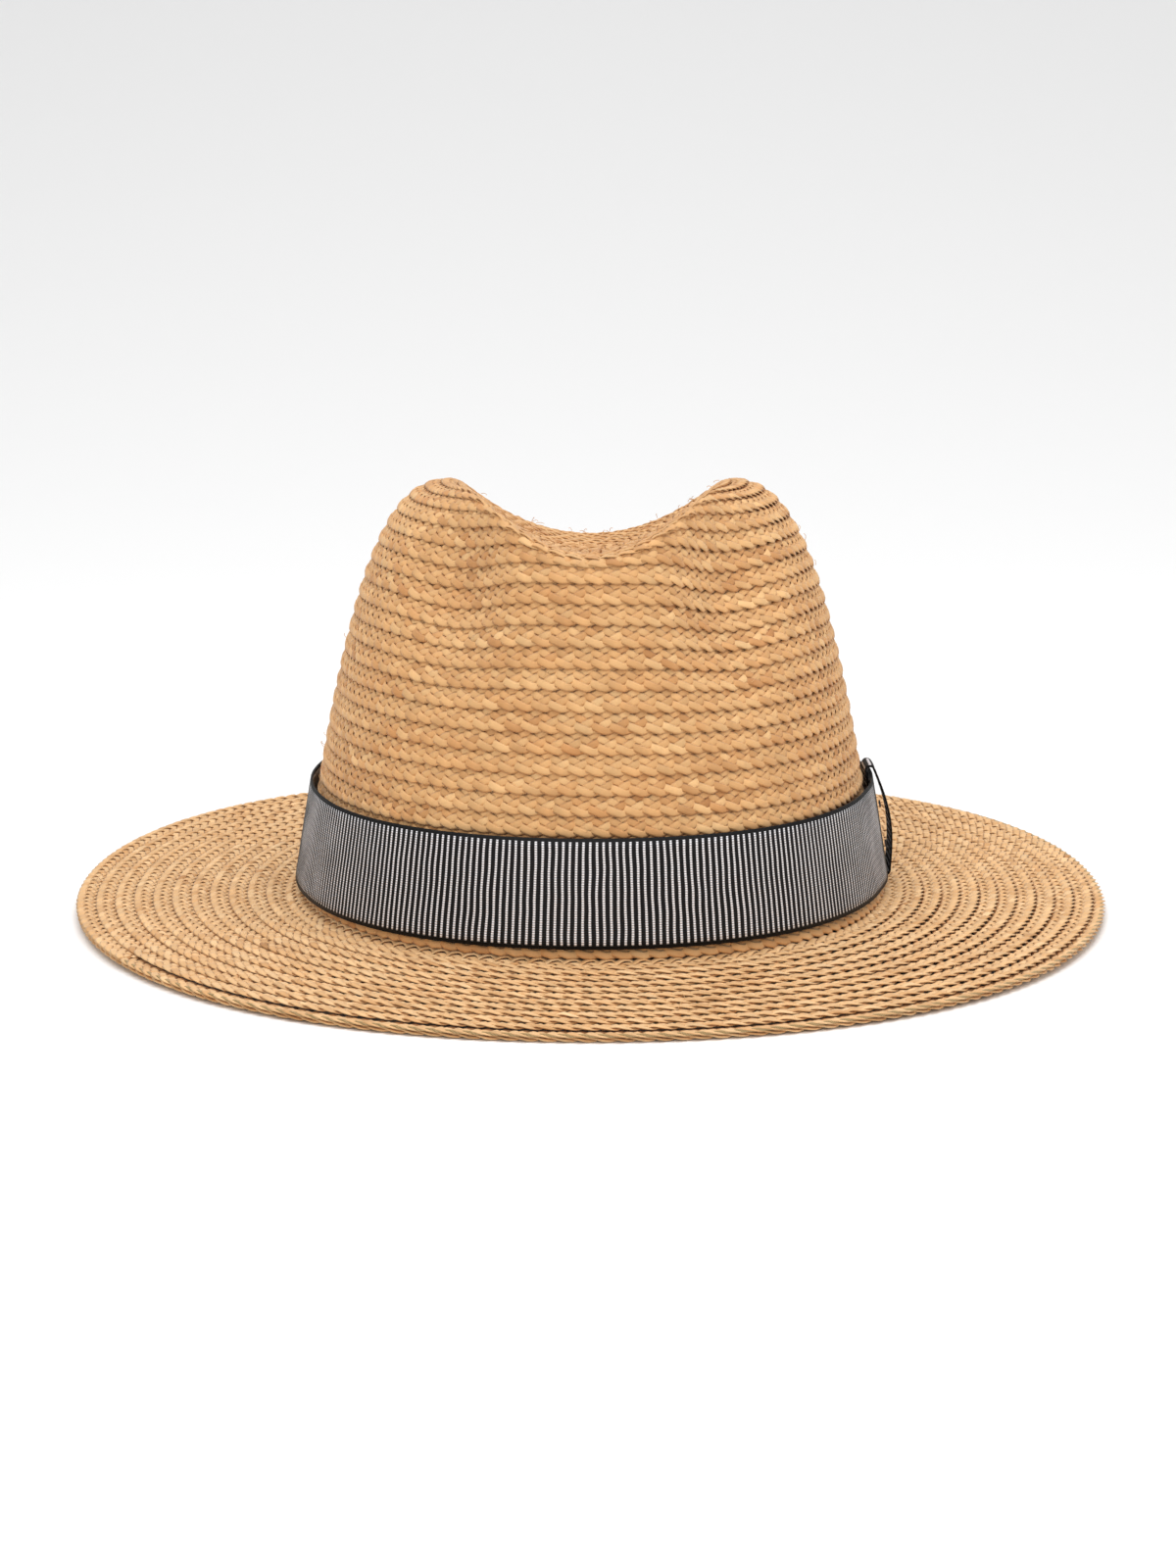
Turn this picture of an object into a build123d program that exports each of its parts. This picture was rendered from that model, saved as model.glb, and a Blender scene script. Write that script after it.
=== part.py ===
from build123d import *
import math
import os

# Sewn-braid fedora. Millimetres, +Z up. The hat stands on its brim edge at z = 0, the wearer faces -Y,
# the wearer's left side is +X, and the vertical axis runs through the middle of the head opening.
# The braid of the real hat is one long spiral of lapped turns. Here it is six closed runs, each a smooth
# shell of several turns, lapped over the next run like a shingle.

# Overall sizes
crown_half_width = 82.5         # outside of the braid at the foot of the crown
crown_half_length = 103.0
brim_half_width = 145.5         # out to the folded edge
brim_half_length = 169.0
crown_height = 119.5            # foot of the crown to the peaks, before the dent is pressed in

# Braid
braid_thickness = 1.2
lap_clearance = 0.5             # air between the layers where two runs of braid lap
wall_depth = 3.2                # from the hat's surface to the innermost layer of braid
lap_room = 0.6                  # air past the edge of a lapped layer
brim_turns = 12                 # the last of them is folded under at the edge
turn_exposure = (brim_half_width - crown_half_width) / brim_turns
braid_width = 1.5 * turn_exposure

# Crown block
foot_height = 4.4               # foot of the crown above the table, at the sides
foot_rise = 0.8                 # the front of the foot is this much higher, the rear this much lower
tip_line_half = 14.0            # the innermost turn closes on a straight line of this half length
tip_run = 85.0                  # how much of the wall's length, from the middle out, is the tip
tip_inner_run = 40.0            # of which this much lies inside the ridge round the dent
tip_slit = 0.4                  # half width left open where the innermost turn closes
crown_pitch_back = 0.06         # the upper crown falls this much for each mm towards the rear
foot_bend = 3.0                 # how far the bend between crown and brim reaches each way
dent_depth_mid = 97.0           # height of the dent's floor at the middle of the crown
dent_rise_front = 5.1           # the floor climbs towards the front
dent_rise_ends = 2.3            # and a little towards both ends
dent_end = 70.0                 # where those rises are measured
dent_curl_mid = 0.0165          # how fast the floor curls up to the sides
dent_curl_front = 0.0047        # extra curl towards the front
dent_softness = 4.5             # roundness of the rim of the dent
pinch_depth = 9.0               # the two finger pinches at the front
pinch_side = 40.0
pinch_reach = 14.0
pinch_level = 96.0              # measured up the crown wall
pinch_rise = 26.0
pinch_droop = 0.5               # the pinched courses sink by this share of the depth
pinch_slant = 30.0              # degrees that the pinches press inward from straight back

# Brim edge
edge_rise_sides = 1.3
edge_rise_rear_corners = 2.0
edge_wire_channel = 0.9         # room for the wire between the two layers of the folded edge
brim_wire_radius = 0.35

# Ribbon and its keeper
ribbon_width = 28.5
ribbon_thickness = 0.6
ribbon_standoff = 1.0           # the ribbon rides on the ridges of the braid
ribbon_lift = 2.4               # lower edge above the bend
ribbon_lap_angle = 14.0         # degrees of overlap at the wearer's left
keeper_width = 14.0
keeper_thickness = 0.5
keeper_bow = 2.2                # the outer leg stands off the ribbon in the middle
keeper_overhang = 2.6           # how far the loop passes the ribbon's edges
keeper_clearance = 0.15         # between the loop and the ribbon
keeper_standoff = 0.35          # between the loop's inner leg and the braid

# Sweatband
sweatband_width = 32.0
sweatband_thickness = 0.8
sweatband_lift = 2.0
sweatband_gap = 0.3
seam_cover_width = 16.0
seam_cover_thickness = 0.7
size_label_width = 18.0
size_label_height = 12.0
care_label_width = 26.0
care_label_height = 22.0
care_label_gap = 2.0
label_thickness = 0.4
thread_thickness = 0.5
thread_height = 0.7
thread_inset = 1.8
stitch_length = 2.0
stitch_levels = (0.3, 0.7)      # share of the ribbon's width
stitch_from_keeper = 2.5        # degrees from the keeper's edge

half_sections = 20              # loft steps along half a turn
profile_step = 0.5
lean_of_wall = [(0, 9), (38, 10), (55, 12), (77, 15), (90, 19), (100, 25), (107, 33),
                (112, 44), (117, 60), (122, 76), (127, 90)]   # share of wall height, degrees inward

os.makedirs("parts", exist_ok=True)


def smooth_step(value, low, high):
    """Go from 0 at low to 1 at high with level ends."""
    share = min(max((value - low) / (high - low), 0.0), 1.0)
    return share * share * (3 - 2 * share)


wall_scale = crown_height / 117.0


def wall_lean(up):
    """Inward lean of the crown wall, in radians, at a distance up from its foot."""
    place = up / wall_scale
    for (low, lean_low), (high, lean_high) in zip(lean_of_wall, lean_of_wall[1:]):
        if place <= high:
            return math.radians(lean_low + (lean_high - lean_low) * (place - low) / (high - low))
    return math.radians(90)


profile = [(crown_half_width, 0.0)]
while profile[-1][0] > 0:
    lean = wall_lean((len(profile) - 0.5) * profile_step)
    profile.append((profile[-1][0] - profile_step * math.sin(lean),
                    profile[-1][1] + profile_step * math.cos(lean)))
tip_distance = (len(profile) - 1) * profile_step


def profile_at(up):
    """Half width and height of the undented crown at a distance up the wall."""
    place = min(max(up / profile_step, 0.0), len(profile) - 1.001)
    index = int(place)
    part_way = place - index
    (width_a, height_a), (width_b, height_b) = profile[index], profile[index + 1]
    return width_a + (width_b - width_a) * part_way, height_a + (height_b - height_a) * part_way


def oval(half_width, stretch, angle):
    """Point on an oval that is half_width wide and half_width + stretch long; angle 0 is the front."""
    forward = math.cos(angle)
    return (half_width * math.sin(angle),
            -(half_width * forward + stretch * (3 * forward - forward ** 3) / 2))


foot_stretch = crown_half_length - crown_half_width
edge_stretch = brim_half_length - brim_half_width


def crown_point(up, angle):
    """Point on the crown's outside, with the dent and the two pinches pressed in."""
    half_width, height = profile_at(up)
    wall = up / wall_scale
    stretch = foot_stretch + (tip_line_half - foot_stretch) * smooth_step(wall, 20, 105)
    x, y = oval(half_width, stretch, angle)
    z = height + foot_height - foot_rise * y / crown_half_length
    z -= crown_pitch_back * smooth_step(wall, 50, 125) * y
    depth = pinch_depth * math.exp(-((wall - pinch_level) / pinch_rise) ** 2)
    depth *= smooth_step(math.cos(angle), -0.2, 0.3)
    left_push = depth * math.exp(-((x - pinch_side) / pinch_reach) ** 2)
    right_push = depth * math.exp(-((x + pinch_side) / pinch_reach) ** 2)
    push = left_push + right_push
    x -= (left_push - right_push) * math.sin(math.radians(pinch_slant))
    y += push * math.cos(math.radians(pinch_slant))
    z -= pinch_droop * push
    along = y / dent_end
    floor = (dent_depth_mid - dent_rise_front * along + dent_rise_ends * along ** 2
             + (dent_curl_mid - dent_curl_front * along) * x * x) * wall_scale
    dented = 0.5 * (z + floor - math.sqrt((z - floor) ** 2 + dent_softness ** 2))
    high = smooth_step(z / wall_scale, 60, 80)
    return Vector(x, y, z + (dented - z) * high)


edge_thickness = 2 * braid_thickness + edge_wire_channel


def edge_top(angle):
    """Height of the top of the brim's folded edge."""
    side = math.sin(angle) ** 2
    rear = max(0.0, -math.cos(angle))
    return edge_thickness + edge_rise_sides * side + edge_rise_rear_corners * side * rear


def brim_point(out, angle):
    """Point on the brim's top at a distance out from the foot of the crown."""
    share = out / (brim_half_width - crown_half_width)
    half_width = crown_half_width + out
    x, y = oval(half_width, foot_stretch + (edge_stretch - foot_stretch) * share, angle)
    foot = foot_height + foot_rise * math.cos(angle)
    return Vector(x, y, foot + (edge_top(angle) - foot) * share)


def hat_point(place, angle):
    """Point on the hat's outside: place > 0 is up the crown and place < 0 is out along the brim."""
    if place >= foot_bend:
        return crown_point(place, angle)
    if place <= -foot_bend:
        return brim_point(-place, angle)
    share = (place + foot_bend) / (2 * foot_bend)
    start, corner, end = brim_point(foot_bend, angle), crown_point(0, angle), crown_point(foot_bend, angle)
    return start * (1 - share) ** 2 + corner * 2 * share * (1 - share) + end * share ** 2


def offset_point(place, angle, offset, surface=hat_point):
    """Point at a distance outside (+) or inside (-) the hat's surface."""
    step = 0.2
    along = surface(place, angle + 0.01) - surface(place, angle - 0.01)
    across = surface(place + step, angle) - surface(place - step, angle)
    return surface(place, angle) + along.cross(across).normalized() * offset


def degrees_per_mm(turn, place=0.0, offset=0.0):
    """Degrees round the crown that one millimetre takes, at an angle, a place and an offset."""
    ends = [offset_point(place, math.radians(turn + side), offset, crown_point) for side in (-0.5, 0.5)]
    return 1 / (ends[1] - ends[0]).length


def side_edge(points):
    """Edge along one side of an outline: straight, or a smooth curve through three or more points."""
    if len(points) == 2:
        return Edge.make_line(points[0], points[1])
    return Edge.make_spline(points, parameters=[k / (len(points) - 1) for k in range(len(points))])


def outline_wire(sides, angle, surface, flat=False):
    """Closed wire across a piece; each side is a list of (place, offset), end to end; flat for an end."""
    middle_place, middle_offset = sides[0][len(sides[0]) // 2]
    middle = offset_point(middle_place, angle, middle_offset, surface)
    along = (surface(middle_place, angle + 0.01) - surface(middle_place, angle - 0.01)).normalized()
    edges = []
    for side in sides:
        points = [offset_point(place, angle, offset, surface) for place, offset in side]
        if flat:
            points = [p - along * (p - middle).dot(along) for p in points]
        edges.append(side_edge(points))
    return Wire(edges)


def closed_sides(corners):
    """Straight sides round a list of (place, offset) corners."""
    return [[a, b] for a, b in zip(corners, corners[1:] + corners[:1])]


def strip_sides(places, inner, outer):
    """Sides of a strip of even thickness, curved along the wall."""
    inside = [(place, inner) for place in places]
    outside = [(place, outer) for place in reversed(places)]
    return [inside, [inside[-1], outside[0]], outside, [outside[-1], inside[0]]]


def ring(sides, surface=hat_point):
    """Closed ring: half of it lofted from front to rear, and the other half its mirror image."""
    half = arc_strip(lambda turn: sides, 0, 180, half_sections, surface)
    return half.fuse(half.mirror(Plane.YZ))


def arc_strip(sides_at, start, end, sections, surface=crown_point):
    """Open strip between two angles, in degrees; sides_at gives the sides at an angle."""
    wires = []
    for k in range(sections + 1):
        turn = start + (end - start) * k / sections
        wires.append(outline_wire(sides_at(turn), math.radians(turn), surface, k in (0, sections)))
    return Solid.make_loft(wires)


def save(shape, name):
    """Write one node."""
    shape.label = name
    export_step(shape, f"parts/{name}.step")


def spread(start, end, steps):
    """Evenly spaced places from start to end."""
    return [start + (end - start) * k / steps for k in range(steps + 1)]


lap_width = braid_width - turn_exposure
under_lap = -(braid_thickness + lap_clearance)      # a lapped layer lies under the next turn


def braid_sides(low, high, lapped_high, steps):
    """Sides of a run of turns; its lower end lies over the next run and its upper end under the one above."""
    inside = [(p, -wall_depth) for p in spread(low + lap_width, high, steps)]
    outside = [(p, 0.0) for p in spread(high, low, steps)]
    sides = [[(low, -braid_thickness), (low + lap_width, -braid_thickness)],
             [(low + lap_width, -braid_thickness), inside[0]]]
    if lapped_high:
        lap_end = high + lap_width - lap_room
        outside[0] = (high - lap_room, 0.0)
        sides += [inside, [inside[-1], (lap_end, -wall_depth)],
                  [(lap_end, -wall_depth), (lap_end, under_lap)],
                  [(lap_end, under_lap), (high - lap_room, under_lap)],
                  [(high - lap_room, under_lap), outside[0]]]
    else:
        sides += [inside, [inside[-1], outside[0]]]
    return sides + [outside, [outside[-1], sides[0][0]]]


# The braid in six runs of turns: the tip, shoulder, side and foot of the crown, the brim and the folded edge
side_low = math.ceil((ribbon_lift + ribbon_width + keeper_overhang) / turn_exposure) * turn_exposure
side_top = int((tip_distance - tip_run) / turn_exposure) * turn_exposure
shoulder_top = int((tip_distance - tip_inner_run) / turn_exposure) * turn_exposure
brim_out = -(brim_turns - 1) * turn_exposure
edge_out = -brim_turns * turn_exposure

save(ring(braid_sides(shoulder_top, tip_distance - tip_slit, False, 6), crown_point), "crown_tip_braid")
save(ring(braid_sides(side_top, shoulder_top, True, 6), crown_point), "crown_shoulder_braid")
save(ring(braid_sides(side_low, side_top, True, 7), crown_point), "crown_side_braid")
save(ring(braid_sides(foot_bend, side_low, True, 5), crown_point), "crown_foot_braid")
save(ring(braid_sides(brim_out, foot_bend, True, 8)), "brim_braid")

# The folded turn: its upper layer goes in under the brim's last full turn
edge_in = brim_out + lap_width - lap_room
edge_step = brim_out - lap_room
edge_turn = ring(closed_sides([(edge_out, -edge_thickness), (edge_in, -edge_thickness),
                               (edge_in, under_lap), (edge_step, under_lap), (edge_step, 0),
                               (edge_out, 0)]))
channel_place = edge_out + braid_thickness + edge_wire_channel / 2
channel_middle = -edge_thickness / 2


def square_sides(half_size):
    """Square outline round the middle of the wire's channel."""
    return closed_sides([(channel_place - half_size, channel_middle - half_size),
                         (channel_place + half_size, channel_middle - half_size),
                         (channel_place + half_size, channel_middle + half_size),
                         (channel_place - half_size, channel_middle + half_size)])


save(edge_turn.cut(ring(square_sides(edge_wire_channel / 2))), "brim_edge_turn")
save(ring(square_sides(brim_wire_radius)), "brim_wire")

# Ribbon: one strip that goes once round and laps over its own start at the wearer's left
lap_start = 90 - ribbon_lap_angle / 2
ribbon_places = spread(ribbon_lift, ribbon_lift + ribbon_width, 4)


def ribbon_sides(turn):
    """Ribbon's outline at an angle; the lapped end climbs over the start."""
    climb = (ribbon_thickness + lap_clearance) * smooth_step(turn, lap_start + 350, lap_start + 359)
    return strip_sides(ribbon_places, ribbon_standoff + climb, ribbon_standoff + climb + ribbon_thickness)


ribbon_steps = 4 * half_sections
save(arc_strip(ribbon_sides, lap_start, lap_start + 360 + ribbon_lap_angle, ribbon_steps), "hat_band")

# Keeper: a closed loop of ribbon round the band, over the lap
keeper_low = ribbon_lift - keeper_clearance
keeper_high = ribbon_lift + ribbon_width + keeper_overhang
keeper_in = keeper_standoff + keeper_thickness
keeper_out = ribbon_standoff + 2 * ribbon_thickness + lap_clearance + keeper_clearance
keeper_half_angle = keeper_width / 2 * degrees_per_mm(90)


def keeper_sides(swell):
    """Outline of the loop, swollen by a thickness; the outer leg bows away from the ribbon."""
    low, high = keeper_low - swell, keeper_high + swell
    inside = [(place, keeper_in - swell) for place in spread(low, high, 2)]
    outside = []
    for place in spread(high, low, 6):
        bow = keeper_bow * math.sin(math.pi * (place - low) / (high - low))
        outside.append((place, keeper_out + bow + swell))
    return [inside, [inside[-1], outside[0]], outside, [outside[-1], inside[0]]]


def keeper_solid(swell, reach):
    """Loop's outline run along the band."""
    half = keeper_half_angle * reach
    return arc_strip(lambda turn: keeper_sides(swell), 90 - half, 90 + half, 4)


save(keeper_solid(keeper_thickness, 1.0).cut(keeper_solid(0, 1.3)), "band_keeper")

# Two tacking stitches through the ribbon, next to the keeper
stitch_start = 90 - keeper_half_angle - stitch_from_keeper
stitch_end = stitch_start + thread_thickness * degrees_per_mm(90)
stitches = []
for share in stitch_levels:
    low = ribbon_lift + ribbon_width * share
    stitch = strip_sides([low, low + stitch_length], keeper_out, keeper_out + thread_thickness)
    stitches.append(arc_strip(lambda turn: stitch, stitch_start, stitch_end, 1))
save(Compound(children=stitches), "band_tack_stitches")

# Sweatband inside the foot of the crown
sweat_low = foot_bend + sweatband_lift
sweat_outer = -(wall_depth + sweatband_gap)
sweat_inner = sweat_outer - sweatband_thickness
sweat_places = spread(sweat_low, sweat_low + sweatband_width, 4)
save(ring(strip_sides(sweat_places, sweat_inner, sweat_outer), crown_point), "sweatband")


def inside_patch(name, middle_turn, low, width, height, outer, thickness):
    """Flat piece that lies inside the hat, centred on an angle."""
    half = width / 2 * degrees_per_mm(middle_turn, low + height / 2, outer)
    sides = strip_sides(spread(low, low + height, 2), outer - thickness, outer)
    save(arc_strip(lambda turn: sides, middle_turn - half, middle_turn + half, 6), name)


on_sweatband = sweat_inner - lap_clearance
inside_patch("sweatband_seam_cover", 180, sweat_low - 1, seam_cover_width, sweatband_width + 2,
             on_sweatband, seam_cover_thickness)
inside_patch("size_label", 270, sweat_low + (sweatband_width - size_label_height) / 2, size_label_width,
             size_label_height, on_sweatband, label_thickness)
inside_patch("care_label", 90, sweat_low + sweatband_width + care_label_gap, care_label_width,
             care_label_height, sweat_outer, label_thickness)

# Line of sewing thread along the sweatband's foot, from one side of the seam cover to the other
cover_half = (seam_cover_width / 2 + 1) * degrees_per_mm(180, sweat_low + thread_inset, on_sweatband)
thread_sides = strip_sides([sweat_low + thread_inset, sweat_low + thread_inset + thread_height],
                           on_sweatband - thread_thickness, on_sweatband)
seam_thread = arc_strip(lambda turn: thread_sides, 180 + cover_half, 540 - cover_half, ribbon_steps)
save(seam_thread, "sweatband_thread")
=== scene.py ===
import logging
import math
import random
from dataclasses import dataclass, field
from enum import Enum
from functools import partial

import bmesh
import bpy
import numpy as np
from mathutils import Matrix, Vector


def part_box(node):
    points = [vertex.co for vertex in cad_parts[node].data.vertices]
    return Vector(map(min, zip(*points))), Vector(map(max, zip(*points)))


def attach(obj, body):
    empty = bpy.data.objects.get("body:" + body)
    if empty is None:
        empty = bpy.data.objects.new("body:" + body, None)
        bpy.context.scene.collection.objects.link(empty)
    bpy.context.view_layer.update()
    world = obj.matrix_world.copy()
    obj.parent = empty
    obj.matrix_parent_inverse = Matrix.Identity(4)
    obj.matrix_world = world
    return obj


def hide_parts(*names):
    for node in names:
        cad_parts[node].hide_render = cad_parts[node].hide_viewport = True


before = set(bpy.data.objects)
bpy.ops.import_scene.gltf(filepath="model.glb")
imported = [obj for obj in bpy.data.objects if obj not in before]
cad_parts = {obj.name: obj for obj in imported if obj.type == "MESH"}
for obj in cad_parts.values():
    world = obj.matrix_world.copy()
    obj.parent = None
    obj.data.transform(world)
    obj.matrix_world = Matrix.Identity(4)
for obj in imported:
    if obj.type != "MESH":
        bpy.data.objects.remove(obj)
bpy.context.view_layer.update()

logging.basicConfig(level=logging.INFO, format="%(message)s")
log = logging.getLogger("fedora")

MM = 0.001
BODY = "root"


def linear(hex_colour: str) -> tuple[float, float, float, float]:
    """Turn an sRGB hex colour into the linear RGBA that Blender mixes.

    Args:
        hex_colour: Six hex digits.

    Returns:
        Linear red, green, blue and an alpha of 1.
    """
    parts = [int(hex_colour[i:i + 2], 16) / 255 for i in (0, 2, 4)]
    light = [c / 12.92 if c <= 0.04045 else ((c + 0.055) / 1.055) ** 2.4 for c in parts]
    return light[0], light[1], light[2], 1.0


def add_node(tree: bpy.types.NodeTree, kind: str, settings: dict | None = None,
             inputs: dict | None = None) -> bpy.types.Node:
    """Add a node with its settings, and set or link its inputs.

    Args:
        tree: The tree to add to.
        kind: The node's type name.
        settings: Properties of the node.
        inputs: Socket name or number to a value, or to an output socket to link from.

    Returns:
        The new node.
    """
    node = tree.nodes.new(kind)
    for name, value in (settings or {}).items():
        setattr(node, name, value)
    for name, value in (inputs or {}).items():
        if isinstance(value, bpy.types.NodeSocket):
            tree.links.new(value, node.inputs[name])
        else:
            node.inputs[name].default_value = value
    return node


def arithmetic(tree: bpy.types.NodeTree, operation: str, *values: object) -> bpy.types.NodeSocket:
    """Add one arithmetic step on numbers or output sockets, and return its result."""
    return add_node(tree, "ShaderNodeMath", {"operation": operation}, dict(enumerate(values))).outputs[0]


def lengths_along(points: np.ndarray) -> np.ndarray:
    """Distance along a line from its first point to each of its points."""
    return np.concatenate([[0], np.cumsum(np.linalg.norm(np.diff(points, axis=0), axis=1))])


def linked(name: str, data: bpy.types.ID) -> bpy.types.Object:
    """Make an object from its data and link it to the scene."""
    thing = bpy.data.objects.new(name, data)
    bpy.context.scene.collection.objects.link(thing)
    return thing


# ---------------------------------------------------------------- shape of the hat


def smooth_step(value: np.ndarray, low: float, high: float) -> np.ndarray:
    """Go from 0 at low to 1 at high with level ends."""
    share = np.clip((value - low) / (high - low), 0.0, 1.0)
    return share * share * (3 - 2 * share)


@dataclass
class HatShape:
    """The hat's outer surface, in millimetres, as the CAD model has it.

    A point is named by its place, which is the distance up the crown's wall from its foot (negative
    out along the brim), and by its angle round the hat, where 0 is the front.
    """

    crown_half_width: float = 82.5
    crown_half_length: float = 103.0
    crown_height: float = 119.5
    foot_height: float = 4.4
    foot_rise: float = 0.8
    foot_bend: float = 3.0
    tip_line_half: float = 14.0
    pitch_back: float = 0.06
    dent_depth: float = 97.0
    dent_rise_front: float = 5.1
    dent_rise_ends: float = 2.3
    dent_end: float = 70.0
    dent_curl: float = 0.0165
    dent_curl_front: float = 0.0047
    dent_softness: float = 4.5
    pinch_depth: float = 9.0
    pinch_side: float = 40.0
    pinch_reach: float = 14.0
    pinch_level: float = 96.0
    pinch_rise: float = 26.0
    pinch_droop: float = 0.5
    pinch_slant: float = 30.0
    edge_thickness: float = 3.3
    edge_rise_sides: float = 1.3
    edge_rise_rear: float = 2.0
    wall_depth: float = 3.2
    profile_height: float = 117.0
    brim_turns: int = 12
    band_top: float = 33.5
    tip_run: float = 85.0
    tip_inner_run: float = 40.0
    brim_half_width: float = 0.0
    brim_half_length: float = 0.0
    lean: tuple = ((0, 9), (38, 10), (55, 12), (77, 15), (90, 19), (100, 25), (107, 33), (112, 44),
                   (117, 60), (122, 76), (127, 90))

    def __post_init__(self) -> None:
        """Take the brim's size from the frame and work out the wall's profile."""
        low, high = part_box("brim_edge_turn")
        self.brim_half_width = (high.x - low.x) / 2 / MM
        self.brim_half_length = (high.y - low.y) / 2 / MM
        self.scale = self.crown_height / self.profile_height
        step = 0.25
        ups = np.arange(0, 260, step)
        leans = np.radians(np.interp(ups / self.scale, [p for p, _ in self.lean], [a for _, a in self.lean]))
        widths = self.crown_half_width - np.concatenate([[0], np.cumsum(np.sin(leans[:-1]) * step)])
        heights = np.concatenate([[0], np.cumsum(np.cos(leans[:-1]) * step)])
        keep = widths >= 0
        self.ups, self.widths, self.heights = ups[keep], widths[keep], heights[keep]
        self.tip_place = float(self.ups[-1])
        self.exposure = (self.brim_half_width - self.crown_half_width) / self.brim_turns
        self.runs = {"brim_braid": -1e3, "crown_foot_braid": self.foot_bend}
        starts = {"crown_side_braid": self.band_top + self.exposure,
                  "crown_shoulder_braid": self.tip_place - self.tip_run,
                  "crown_tip_braid": self.tip_place - self.tip_inner_run}
        for name, place in starts.items():
            self.runs[name] = int(place / self.exposure) * self.exposure

    def oval(self, half_width: np.ndarray, stretch: np.ndarray, angle: np.ndarray) -> tuple:
        """Plan of a turn: half_width wide and half_width + stretch long, each counted from the middle."""
        ahead = np.cos(angle)
        return half_width * np.sin(angle), -(half_width * ahead + stretch * (3 * ahead - ahead ** 3) / 2)

    def crown(self, up: np.ndarray, angle: np.ndarray) -> np.ndarray:
        """Points on the crown's outside, with the dent and the two pinches pressed in."""
        half_width = np.interp(up, self.ups, self.widths)
        height = np.interp(up, self.ups, self.heights) + np.minimum(up, 0)
        wall = up / self.scale
        foot_stretch = self.crown_half_length - self.crown_half_width
        stretch = foot_stretch + (self.tip_line_half - foot_stretch) * smooth_step(wall, 20, 105)
        x, y = self.oval(half_width, stretch, angle)
        z = height + self.foot_height - self.foot_rise * y / self.crown_half_length
        z = z - self.pitch_back * smooth_step(wall, 50, 125) * y
        depth = self.pinch_depth * np.exp(-((wall - self.pinch_level) / self.pinch_rise) ** 2)
        depth = depth * smooth_step(np.cos(angle), -0.2, 0.3)
        left = depth * np.exp(-((x - self.pinch_side) / self.pinch_reach) ** 2)
        right = depth * np.exp(-((x + self.pinch_side) / self.pinch_reach) ** 2)
        push = left + right
        x = x - (left - right) * math.sin(math.radians(self.pinch_slant))
        y = y + push * math.cos(math.radians(self.pinch_slant))
        z = z - self.pinch_droop * push
        along = y / self.dent_end
        floor = (self.dent_depth - self.dent_rise_front * along + self.dent_rise_ends * along ** 2
                 + (self.dent_curl - self.dent_curl_front * along) * x * x) * self.scale
        dented = 0.5 * (z + floor - np.sqrt((z - floor) ** 2 + self.dent_softness ** 2))
        high = smooth_step(z / self.scale, 60, 80)
        return np.stack([x, y, z + (dented - z) * high], -1)

    def brim(self, out: np.ndarray, angle: np.ndarray) -> np.ndarray:
        """Points on the brim's top at a distance out from the foot of the crown."""
        share = out / (self.brim_half_width - self.crown_half_width)
        foot_stretch = self.crown_half_length - self.crown_half_width
        edge_stretch = self.brim_half_length - self.brim_half_width
        stretch = foot_stretch + (edge_stretch - foot_stretch) * share
        x, y = self.oval(self.crown_half_width + out, stretch, angle)
        side = np.sin(angle) ** 2
        edge = self.edge_thickness + self.edge_rise_sides * side
        edge = edge + self.edge_rise_rear * side * np.maximum(0.0, -np.cos(angle))
        foot = self.foot_height + self.foot_rise * np.cos(angle)
        return np.stack([x, y, foot + (edge - foot) * share], -1)

    def surface(self, place: np.ndarray, angle: np.ndarray) -> np.ndarray:
        """Points on the whole hat: the crown, the brim and the bend between them."""
        bend = self.foot_bend
        share = np.clip((place + bend) / (2 * bend), 0, 1)[..., None]
        zero = np.zeros_like(place)
        bent = (self.brim(zero + bend, angle) * (1 - share) ** 2
                + self.crown(zero, angle) * 2 * share * (1 - share)
                + self.crown(zero + bend, angle) * share ** 2)
        flat = np.where((place <= -bend)[..., None], self.brim(-place, angle), bent)
        return np.where((place >= bend)[..., None], self.crown(place, angle), flat)

    def frame_at(self, place: np.ndarray, angle: np.ndarray, wall_only: bool = False) -> tuple:
        """Surface points and outward normals.

        Args:
            place: Distances up from the foot.
            angle: Angles round the hat.
            wall_only: Follow the crown's wall straight down, without the bend at its foot.

        Returns:
            Points and unit normals.
        """
        points_of = self.crown if wall_only else self.surface
        along = points_of(place, angle + 0.01) - points_of(place, angle - 0.01)
        across = points_of(place + 0.3, angle) - points_of(place - 0.3, angle)
        normal = np.cross(along, across)
        return points_of(place, angle), normal / np.linalg.norm(normal, axis=-1, keepdims=True)

    def offset(self, place: np.ndarray, angle: np.ndarray, out: np.ndarray,
               wall_only: bool = True) -> np.ndarray:
        """Points at a distance outside the surface, broadcasting place, angle and out together."""
        place, angle, out = np.broadcast_arrays(*(np.asarray(v, float) for v in (place, angle, out)))
        points, normals = self.frame_at(place, angle, wall_only)
        return points + normals * out[..., None]

    def angle_per_mm(self, angle: float, place: float = 0.0, out: float = 0.0) -> float:
        """Angle that one millimetre round the hat takes, in radians, at an angle, a place and an offset."""
        ends = self.offset(place, np.array([angle - 0.01, angle + 0.01]), out)
        return 0.02 / float(np.linalg.norm(ends[1] - ends[0]))


# ---------------------------------------------------------------- finishes


def new_material(name: str) -> tuple[bpy.types.Material, bpy.types.Node]:
    """Make an empty material and return it with its shader node."""
    material = bpy.data.materials.new(name)
    material.use_nodes = True
    shader = next(n for n in material.node_tree.nodes if n.type == "BSDF_PRINCIPLED")
    return material, shader


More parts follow.
